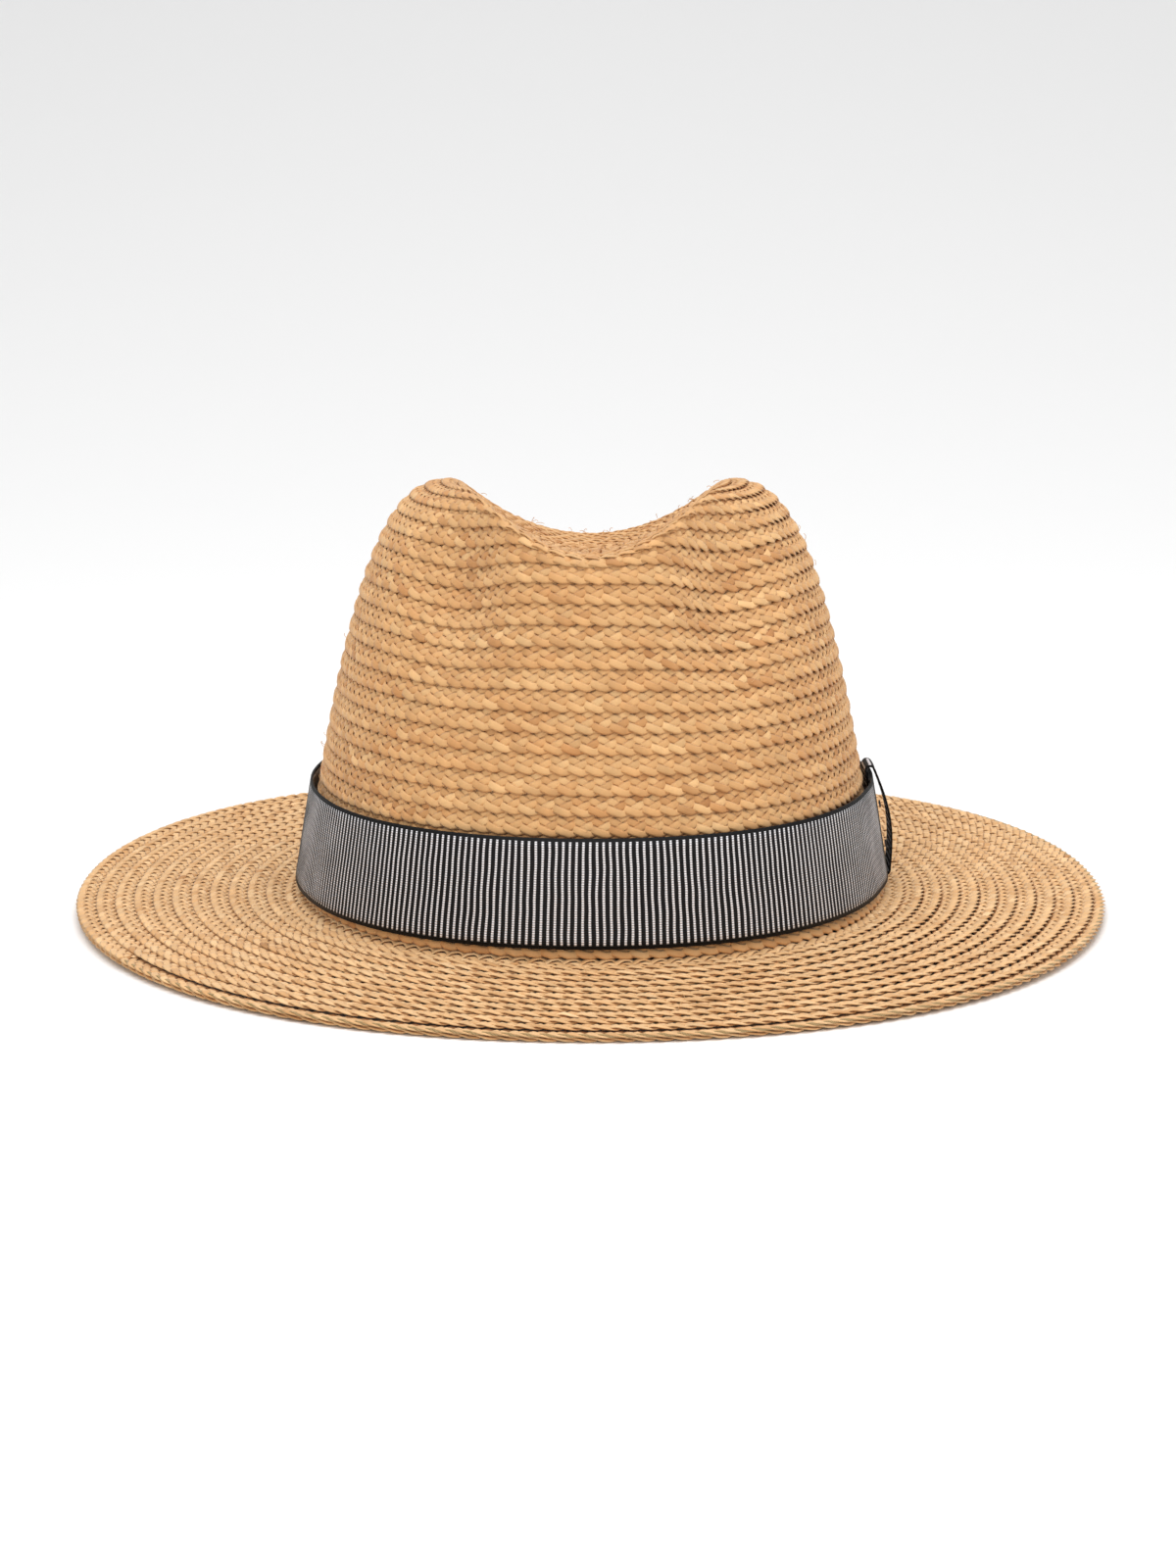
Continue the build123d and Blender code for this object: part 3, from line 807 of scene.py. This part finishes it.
@dataclass
class BraidedBody:
    """The hat's body: one long plait, laid as a spiral of lapped turns from the tip to the brim's edge."""

    shape: HatShape
    plait: PlaitTree = field(default_factory=PlaitTree)
    braid_width: float = 7.0
    front_line: float = 36.2
    step: float = 1.0
    hidden_step: float = 2.0
    strand_width: float = 2.2
    strand_thickness: float = 0.55
    lift: float = 0.38
    cells: float = 4.6
    edge_width: float = 7.4
    turns_per_piece: int = 3
    behind_band: list = field(default_factory=list)

    def place_of(self, turn: np.ndarray) -> np.ndarray:
        """Place of the braid's lower edge after some turns from the tip; whole turns are at the rear."""
        first = self.front_line + self.shape.exposure * (math.ceil((self.shape.tip_place - self.front_line)
                                                                    / self.shape.exposure) - 0.5)
        return first - self.shape.exposure * turn

    def guide(self, name: str, places: np.ndarray, angles: np.ndarray, start: float, sink: float = 0.0,
              width: float | None = None, flip: float = 1.0) -> tuple[bpy.types.Object, float]:
        """Make a guide line for the plait.

        Args:
            name: The piece's name.
            places: Places of the braid's lower edge along it.
            angles: Angles round the hat along it.
            start: Length of braid before it, in millimetres.
            sink: Extra depth of the whole braid under the surface.
            width: The braid's width, where it isn't the usual one.
            flip: -1 turns the braid's slope over, for the layer folded under.

        Returns:
            The guide as a mesh of edges, and the length of braid up to its end.
        """
        width = width or self.braid_width
        slope = 1.15 / self.shape.exposure
        inset = 0.75
        layers = []
        for share in (0.0, 0.5, 1.0):
            place = np.minimum(places + width * share, self.shape.tip_place - 0.15)
            deep = -(inset + sink + flip * slope * width * share)
            layers.append(self.shape.offset(place, angles, deep, False))
        low, middle, high = layers
        _, out = self.shape.frame_at(np.minimum(places + width * 0.4, self.shape.tip_place - 0.3), angles)
        along = start + lengths_along(middle)
        piece = guide_line(name, middle, {"low_edge": low * MM, "mid_line": middle * MM,
                                          "high_edge": high * MM, "outward": out})
        attribute = piece.data.attributes.new("along", "FLOAT", "POINT")
        attribute.data.foreach_set("value", (along * MM).astype(np.float32))
        return piece, float(along[-1])

    def plaited(self, piece: bpy.types.Object, finish: Finish, seed: int) -> bpy.types.Object:
        """Plait the strands along a guide."""
        return baked(piece, self.plait.build(), {
            "Strands": 5,
            "Period": 5 * self.cells * MM,
            "Strand Width": self.strand_width * MM,
            "Strand Thickness": self.strand_thickness * MM,
            "Lift": self.lift * MM,
            "Margin": self.strand_width / 2 / self.braid_width * 0.86,
            "Ragged": 0.05 * MM,
            "Seed": seed,
            "Material": finish.material(),
        })

    def samples(self, first: float, last: float, step: float) -> tuple[np.ndarray, np.ndarray]:
        """Places and angles along the spiral at about one step apart.

        Args:
            first: Turns from the tip at its start.
            last: Turns from the tip at its end.
            step: Spacing in millimetres.

        Returns:
            Places and angles.
        """
        fine = np.linspace(first, last, int((last - first) * 720) + 1)
        points = self.shape.surface(self.place_of(fine), math.pi + 2 * math.pi * fine)
        length = lengths_along(points)
        turns = np.interp(np.linspace(0, length[-1], max(8, int(length[-1] / step))), length, fine)
        return self.place_of(turns), math.pi + 2 * math.pi * turns

    def build(self) -> list[bpy.types.Object]:
        """Make every turn.

        Returns:
            The pieces, from the tip to the edge.
        """
        edge_place = -(self.shape.brim_half_width - self.shape.crown_half_width)
        first_turn = 0.62
        total = (float(self.place_of(np.array(0.0))) - edge_place - 0.3) / self.shape.exposure
        cuts = [first_turn]
        while cuts[-1] < total:
            cuts.append(min(math.floor(cuts[-1]) + self.turns_per_piece, total))
        pieces, length = [], 0.0
        replaced = set()
        for index, (first, last) in enumerate(zip(cuts, cuts[1:])):
            mid_place = float(self.place_of(np.array((first + last) / 2)))
            low_place = float(self.place_of(np.array(last)))
            on_brim = mid_place < 0
            hidden = 2 < mid_place < 22
            places, angles = self.samples(first, last, self.hidden_step if hidden else self.step)
            piece, length = self.guide(f"braid_turns_{index + 1:02d}", places, angles, length)
            # The brim's turns take the copy painted lighter, as painted light from above; the crown's turns
            # take the copy painted darker, as painted shade.
            finish = Finish.BRIM_RAFFIA_PAINTED_LIGHT if on_brim else Finish.CROWN_RAFFIA_PAINTED_SHADE
            self.plaited(piece, finish, index)
            run = [name for name, start in self.shape.runs.items() if start <= mid_place][-1]
            nodes = [] if run in replaced else [run]
            replaced.update(nodes)
            pieces.append(finish_piece(piece, "raffia_brim" if on_brim else "raffia_crown", *nodes))
            if low_place < 30 and mid_place > 3:
                self.behind_band.append(piece.name)
        pieces += self.edge(edge_place)
        return pieces

    def edge(self, place: float) -> list[bpy.types.Object]:
        """The folded turn at the brim's edge: an upper layer and the layer folded below it."""
        angles = np.linspace(math.pi, 3 * math.pi, 900)
        made = []
        for name, sink, flip, seed, nodes in (("brim_edge_upper", 0.6, 1.0, 91, ("brim_edge_turn",)),
                                              ("brim_edge_folded_under", 1.85, 0.25, 92, ())):
            places = np.full(len(angles), place + 0.35 + 0.15 * sink)
            piece, _ = self.guide(name, places, angles, 0.0, sink, self.edge_width, flip)
            self.plaited(piece, Finish.BRIM_RAFFIA_PAINTED_LIGHT, seed)
            made.append(finish_piece(piece, "raffia_brim", *nodes))
        return made


# ---------------------------------------------------------------- ribbon and keeper


@dataclass
class HatBand:
    """The striped ribbon round the crown and the loop of ribbon over its lap."""

    shape: HatShape
    width: float = 28.5
    thickness: float = 0.6
    lift: float = 2.4
    standoff: float = 1.0
    lap_degrees: float = 14.0
    climb: float = 0.75
    rows: int = 12
    column_mm: float = 0.445
    rib_height: float = 0.05
    keeper_width: float = 14.0
    keeper_thickness: float = 0.5
    keeper_bow: float = 2.2
    keeper_overhang: float = 2.6
    behind: list = field(default_factory=list)

    def build(self) -> list[bpy.types.Object]:
        """Make the ribbon and its keeper."""
        return [self.ribbon(), self.keeper()]

    def ribbon(self) -> bpy.types.Object:
        """One strip of ribbon, once round, with its end lapped over its start."""
        start = 90 - self.lap_degrees / 2
        turn = np.linspace(start, start + 360 + self.lap_degrees, 2000)
        middle = self.shape.offset(self.lift + self.width / 2, np.radians(turn), self.standoff)
        length = lengths_along(middle)
        along = np.arange(0, length[-1], self.column_mm)
        turns = np.interp(along, length, turn)
        across = np.linspace(0, self.width, self.rows)
        climb = self.climb * smooth_step(turns, start + 350, start + 359)
        ease = 0.12 * np.sin(along / 23.0) + 0.08 * np.sin(along / 9.7 + 1.0)
        rib = self.rib_height * np.cos(2 * math.pi * along / Finish.RIBBON.value.pitch_mm)
        out = self.standoff + climb + ease + rib
        place = self.lift + across[:, None] + np.zeros_like(turns)[None, :]
        angle = np.radians(turns)[None, :] + 0 * place
        grid = self.shape.offset(place, angle, out[None, :])
        _, normals = self.shape.frame_at(place, angle, True)
        uv = np.stack(np.broadcast_arrays(along[None, :], across[:, None]), -1)
        piece = tape("hat_band_ribbon", grid, self.thickness, normals, uv, Finish.RIBBON)
        finish_piece(piece, "striped_ribbon", "hat_band")
        return piece

    def loop_path(self) -> np.ndarray:
        """Middle line of the keeper: offsets from the crown's wall and places up it, once round."""
        low = self.lift - 0.15 - self.keeper_thickness / 2
        high = self.lift + self.width + self.keeper_overhang
        inner, outer = 0.6, self.standoff + self.climb + self.thickness + 0.75
        radius = (outer - inner) / 2
        up = np.linspace(low + radius, high - radius, 16)
        points = [(inner, p) for p in up]
        bend = [math.pi * k / 8 for k in range(1, 8)]
        for angle in bend:
            points.append((inner + radius - radius * math.cos(angle),
                           high - radius + radius * math.sin(angle)))
        for k, p in enumerate(up[::-1]):
            points.append((outer + self.keeper_bow * math.sin(math.pi * k / 15), p))
        for angle in bend:
            points.append((inner + radius + radius * math.cos(angle),
                           low + radius - radius * math.sin(angle)))
        return np.array(points)

    def keeper(self) -> bpy.types.Object:
        """The loop of ribbon that hides the lap."""
        path = self.loop_path()
        per_mm = self.shape.angle_per_mm(math.pi / 2)
        rows = 9
        across = np.linspace(0, self.keeper_width, rows)
        angle = math.pi / 2 + (across - self.keeper_width / 2) * per_mm
        grid = self.shape.offset(path[None, :, 1], angle[:, None], path[None, :, 0])
        along = np.roll(grid, -1, axis=1) - np.roll(grid, 1, axis=1)
        side = np.gradient(grid, axis=0)
        normals = np.cross(along, side)
        normals /= np.linalg.norm(normals, axis=-1, keepdims=True)
        middle = grid[rows // 2].mean(axis=0)
        if ((grid[rows // 2] - middle) * normals[rows // 2]).sum() < 0:
            normals = -normals
        steps = np.linalg.norm(np.diff(grid[rows // 2], axis=0), axis=1)
        length = np.concatenate([[0], np.cumsum(steps)])
        uv = np.stack(np.broadcast_arrays(length[None, :], across[:, None]), -1)
        inner = grid - normals * self.keeper_thickness / 2
        piece = tape("keeper_loop", inner, self.keeper_thickness, normals, uv, Finish.KEEPER, True)
        facing_out(piece)
        finish_piece(piece, "keeper_ribbon", "band_keeper")
        return piece


# ---------------------------------------------------------------- stitches and fibres


@dataclass
class ThreadWork:
    """Rows of stitches and loose fibres, laid by Geometry Nodes along guide lines."""

    shape: HatShape
    thread: float = 0.55
    stitch_long: float = 3.2
    stitch_pitch: float = 4.6

    def stitch_tree(self) -> bpy.types.NodeTree:
        """Tree that puts a stitch at every pitch along a guide line."""
        tree, given, end = new_tree("stitch_row", {
            "Pitch": ("NodeSocketFloat", 0.0046),
            "Length": ("NodeSocketFloat", 0.0032),
            "Thread": ("NodeSocketFloat", 0.0005),
            "Seed": ("NodeSocketInt", 3),
            "Material": ("NodeSocketMaterial", None),
        })
        add = partial(add_node, tree)
        line = add("GeometryNodeMeshToCurve", {}, {"Mesh": given["Geometry"]}).outputs["Curve"]
        points = add("GeometryNodeResampleCurve", {"mode": "LENGTH"},
                     {"Curve": line, "Length": given["Pitch"]})
        tangent = add("GeometryNodeInputTangent").outputs["Tangent"]
        out = add("GeometryNodeInputNamedAttribute", {"data_type": "FLOAT_VECTOR"},
                  {"Name": "outward"}).outputs["Attribute"]
        turned = add("FunctionNodeAlignRotationToVector", {"axis": "X"}, {"Vector": tangent})
        turned = add("FunctionNodeAlignRotationToVector", {"axis": "Z", "pivot_axis": "X"},
                     {"Rotation": turned.outputs["Rotation"], "Vector": out})
        half = arithmetic(tree, "MULTIPLY", given["Length"], 0.5)
        back = arithmetic(tree, "MULTIPLY", given["Length"], -0.5)
        start = add("ShaderNodeCombineXYZ", {}, {"X": back, "Z": given["Thread"]}).outputs["Vector"]
        crest = add("ShaderNodeCombineXYZ", {}, {"Z": given["Thread"]}).outputs["Vector"]
        stop = add("ShaderNodeCombineXYZ", {}, {"X": half, "Z": given["Thread"]}).outputs["Vector"]
        down, down_end = (add("ShaderNodeVectorMath", {"operation": "MULTIPLY"},
                              {0: tip, 1: (1.0, 1.0, -0.3)}).outputs["Vector"] for tip in (start, stop))
        arch = add("GeometryNodeCurveQuadraticBezier", {}, {"Resolution": 5, "Start": down, "Middle": crest,
                                                           "End": down_end}).outputs["Curve"]
        radius = arithmetic(tree, "MULTIPLY", given["Thread"], 0.5)
        round_ = add("GeometryNodeCurvePrimitiveCircle", {"mode": "RADIUS"},
                     {"Resolution": 5, "Radius": radius})
        stitch = add("GeometryNodeCurveToMesh", {}, {"Curve": arch, "Profile Curve": round_.outputs["Curve"],
                                                     "Fill Caps": True}).outputs["Mesh"]
        size = add("FunctionNodeRandomValue", {"data_type": "FLOAT"},
                   {"Min": 0.9, "Max": 1.08, "Seed": given["Seed"]}).outputs["Value"]
        laid = add("GeometryNodeInstanceOnPoints", {},
                   {"Points": points.outputs["Curve"], "Instance": stitch,
                    "Rotation": turned.outputs["Rotation"], "Scale": size})
        end_tree(tree, laid.outputs["Instances"], given["Material"], end)
        return tree

    def row(self, name: str, points: np.ndarray, out: np.ndarray, finish: Finish, slot: str,
            node: str) -> bpy.types.Object:
        """Lay a row of stitches.

        Args:
            name: The piece's name.
            points: Points of the row in millimetres.
            out: Directions away from the cloth.
            finish: The thread's finish.
            slot: The record's slot.
            node: CAD node that the row stands for.

        Returns:
            The piece.
        """
        piece = guide_line(name, points, {"outward": out})
        tree = bpy.data.node_groups.get("stitch_row") or self.stitch_tree()
        baked(piece, tree, {"Pitch": self.stitch_pitch * MM, "Length": self.stitch_long * MM,
                            "Thread": self.thread * MM, "Seed": 3, "Material": finish.material()})
        return finish_piece(piece, slot, node)

    def fibre_tree(self) -> bpy.types.NodeTree:
        """Tree that gives loose fibres their thickness."""
        tree, given, end = new_tree("loose_fibres", {"Radius": ("NodeSocketFloat", 0.0001),
                                                    "Material": ("NodeSocketMaterial", None)})
        line = add_node(tree, "GeometryNodeMeshToCurve", {}, {"Mesh": given["Geometry"]}).outputs["Curve"]
        rim = add_node(tree, "GeometryNodeCurvePrimitiveCircle", {"mode": "RADIUS"},
                       {"Resolution": 3, "Radius": given["Radius"]}).outputs["Curve"]
        mesh = add_node(tree, "GeometryNodeCurveToMesh", {}, {"Curve": line, "Profile Curve": rim,
                                                              "Fill Caps": True}).outputs["Mesh"]
        end_tree(tree, mesh, given["Material"], end)
        return tree

    def fibres(self, count: int = 260, seed: int = 11) -> bpy.types.Object:
        """Fine frayed ends that stand out of the braid."""
        chance = random.Random(seed)
        edge = -(self.shape.brim_half_width - self.shape.crown_half_width)
        points, edges = [], []
        for _ in range(count):
            place = chance.choice([chance.uniform(32, self.shape.tip_place - 6),
                                   chance.uniform(edge + 2, -3)])
            angle = chance.uniform(0, 2 * math.pi)
            reach, drift = chance.uniform(2.0, 6.0), chance.uniform(-1, 1)
            rise = chance.uniform(0.3, 1.4)
            first = len(points)
            for k in range(6):
                share = k / 5
                turn = angle + drift * reach * share / 95
                out = -0.3 + rise * math.sin(share * 2.2)
                points.append(self.shape.offset(place + reach * 0.35 * share, turn, out, False))
                if k:
                    edges.append((first + k - 1, first + k))
        piece = guide_line("loose_fibres", np.array(points), {}, edges)
        baked(piece, self.fibre_tree(), {"Radius": 0.09 * MM, "Material": Finish.BRIM_RAFFIA_PAINTED_LIGHT.material()})
        return finish_piece(piece, "raffia_crown")


# ---------------------------------------------------------------- inside of the hat


@dataclass
class HatInside:
    """Sweatband, its seam cover and stitches, and two blank labels."""

    shape: HatShape
    threads: ThreadWork
    low: float = 5.0
    width: float = 32.0
    thickness: float = 0.8
    gap: float = 0.3
    cover_width: float = 16.0
    behind: list = field(default_factory=list)

    def patch(self, name: str, middle: float, low: float, width: float, height: float, out: float,
              thickness: float, finish: Finish, slot: str, node: str) -> bpy.types.Object:
        """Lay a flat piece inside the hat.

        Args:
            name: The piece's name.
            middle: Angle of its middle in degrees.
            low: Place of its lower edge.
            width: Its length round the hat.
            height: Its length up the wall.
            out: Offset of its outer face from the hat's surface.
            thickness: Its thickness.
            finish: Its finish.
            slot: The record's slot.
            node: CAD node that it replaces.

        Returns:
            The piece.
        """
        per_mm = self.shape.angle_per_mm(math.radians(middle), low + height / 2, out)
        columns, rows = 30, 16
        along = np.linspace(0, width, columns)
        up = np.linspace(0, height, rows)
        angle = math.radians(middle) + (along - width / 2) * per_mm
        swell = 0.12 * np.sin(up / height * math.pi)[:, None] * np.sin(along / width * math.pi)[None, :]
        grid = self.shape.offset((low + up)[:, None], angle[None, :], out - thickness - swell)
        places, angles = np.broadcast_arrays((low + up)[:, None], angle[None, :])
        _, normals = self.shape.frame_at(places, angles, True)
        uv = np.stack(np.broadcast_arrays(along[None, :], up[:, None]), -1)
        piece = tape(name, grid, thickness, normals, uv, finish)
        finish_piece(piece, slot, node)
        return piece

    def build(self) -> list[bpy.types.Object]:
        """Make every inside piece."""
        out = -(self.shape.wall_depth + self.gap)
        turns = np.linspace(0, 2 * math.pi, 361)[:-1]
        up = np.linspace(0, self.width, 18)
        wave = 0.15 * np.sin(turns * 9) * (up[:, None] / self.width)
        grid = self.shape.offset((self.low + up)[:, None], turns[None, :], out - self.thickness - wave)
        _, normals = self.shape.frame_at((self.low + up)[:, None] + 0 * turns, turns + 0 * up[:, None], True)
        middle = grid[9]
        length = lengths_along(middle)
        uv = np.stack(np.broadcast_arrays(length[None, :], up[:, None]), -1)
        band = tape("sweatband_tape", grid, self.thickness, normals, uv, Finish.SWEATBAND, True)
        finish_piece(band, "sweatband_tape", "sweatband")
        on_band = out - self.thickness - 0.2
        pieces = [band]
        pieces.append(self.patch("seam_cover", 180, self.low - 1, self.cover_width, self.width + 2, on_band,
                                 0.7, Finish.SEAM_COVER, "seam_cover_tape", "sweatband_seam_cover"))
        pieces.append(self.patch("size_tab", 270, self.low + 10, 18, 12, on_band, 0.4, Finish.LABEL,
                                 "label_tape", "size_label"))
        pieces.append(self.patch("care_tab", 90, self.low + self.width + 2, 26, 22, out, 0.4, Finish.LABEL,
                                 "label_tape", "care_label"))
        side = self.cover_width / 2 + 1
        per_mm = self.shape.angle_per_mm(math.pi, self.low + 2.0, on_band)
        angles = np.linspace(math.pi + side * per_mm, 3 * math.pi - side * per_mm, 300)
        place = np.full(300, self.low + 2.0)
        points = self.shape.offset(place, angles, on_band + 0.1)
        _, normals = self.shape.frame_at(place, angles, True)
        pieces.append(self.threads.row("sweatband_stitches", points, -normals, Finish.TAN_THREAD,
                                       "tan_thread", "sweatband_thread"))
        return pieces


# ---------------------------------------------------------------- stage


@dataclass
class Studio:
    """Pale floor, soft light and the camera."""

    aim_height: float = 31.5
    distance: float = 1000.0
    elevation: float = 10.7
    lens: float = 80.66
    side: float = -0.8

    def floor(self) -> None:
        """A pale floor that curves up behind the hat."""
        points = []
        start, radius = 0.6, 2.4
        profile = [(-3.0, 0.0), (start, 0.0)]
        profile += [(start + radius * math.sin(a), radius - radius * math.cos(a))
                    for a in np.linspace(0.05, math.pi / 2, 24)]
        profile.append((3.0, 6.0))
        for y, z in profile:
            points += [(-6.0, y, z), (6.0, y, z)]
        faces = [(2 * k, 2 * k + 1, 2 * k + 3, 2 * k + 2) for k in range(len(profile) - 1)]
        mesh = bpy.data.meshes.new("pale_floor")
        mesh.from_pydata(points, [], faces)
        mesh.polygons.foreach_set("use_smooth", [True] * len(mesh.polygons))
        material, shader = new_material("matt_paper_white")
        shader.inputs["Base Color"].default_value = linear("F4F4F4")
        shader.inputs["Roughness"].default_value = 0.9
        mesh.materials.append(material)
        linked("pale_floor", mesh)

    def light(self, name: str, place: tuple, aim: tuple, size: float, watts: float) -> None:
        """Add a square soft light.

        Args:
            name: Its name.
            place: Where it hangs, in metres.
            aim: The point that it faces.
            size: Its side in metres.
            watts: Its power.
        """
        lamp = bpy.data.lights.new(name, "AREA")
        lamp.shape, lamp.size, lamp.energy = "SQUARE", size, watts
        holder = linked(name, lamp)
        holder.location = place
        holder.rotation_euler = (Vector(aim) - Vector(place)).to_track_quat("-Z", "Y").to_euler()

    def build(self) -> None:
        """Set up the floor, lights and camera."""
        self.floor()
        world = bpy.data.worlds.new("soft_room")
        world.use_nodes = True
        world.node_tree.nodes["Background"].inputs["Color"].default_value = linear("FFFFFF")
        world.node_tree.nodes["Background"].inputs["Strength"].default_value = 0.55
        bpy.context.scene.world = world
        self.light("overhead_softbox", (0.0, -0.1, 1.7), (0, 0, 0), 1.5, 22)
        self.light("front_fill", (-0.5, -2.2, 1.1), (0, 0, 0.05), 1.4, 14)
        self.light("right_fill", (1.8, -0.8, 0.9), (0, 0, 0.05), 1.0, 6)
        camera = linked("camera", bpy.data.cameras.new("camera"))
        camera.data.lens, camera.data.sensor_width = self.lens, 36.0
        camera.data.clip_start, camera.data.clip_end = 0.05, 50
        tilt = math.radians(self.elevation)
        aim = Vector((self.side, 0, self.aim_height)) * MM
        camera.location = aim + Vector((0, -math.cos(tilt), math.sin(tilt))) * self.distance * MM
        camera.rotation_euler = (aim - camera.location).to_track_quat("-Z", "Y").to_euler()
        bpy.context.scene.camera = camera
        bpy.context.scene.view_settings.view_transform = "Standard"


def main() -> None:
    """Build the hat and the studio."""
    shape = HatShape()
    threads = ThreadWork(shape)
    body = BraidedBody(shape)
    body.build()
    HatBand(shape, behind=body.behind_band).build()
    threads.fibres()
    HatInside(shape, threads, behind=body.behind_band).build()
    for name, finish in (("brim_wire", Finish.EDGE_WIRE), ("band_tack_stitches", Finish.BLACK_THREAD)):
        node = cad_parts[name]
        node.data.materials.clear()
        node.data.materials.append(finish.material())
    Studio().build()


if __name__ == "__main__":
    main()
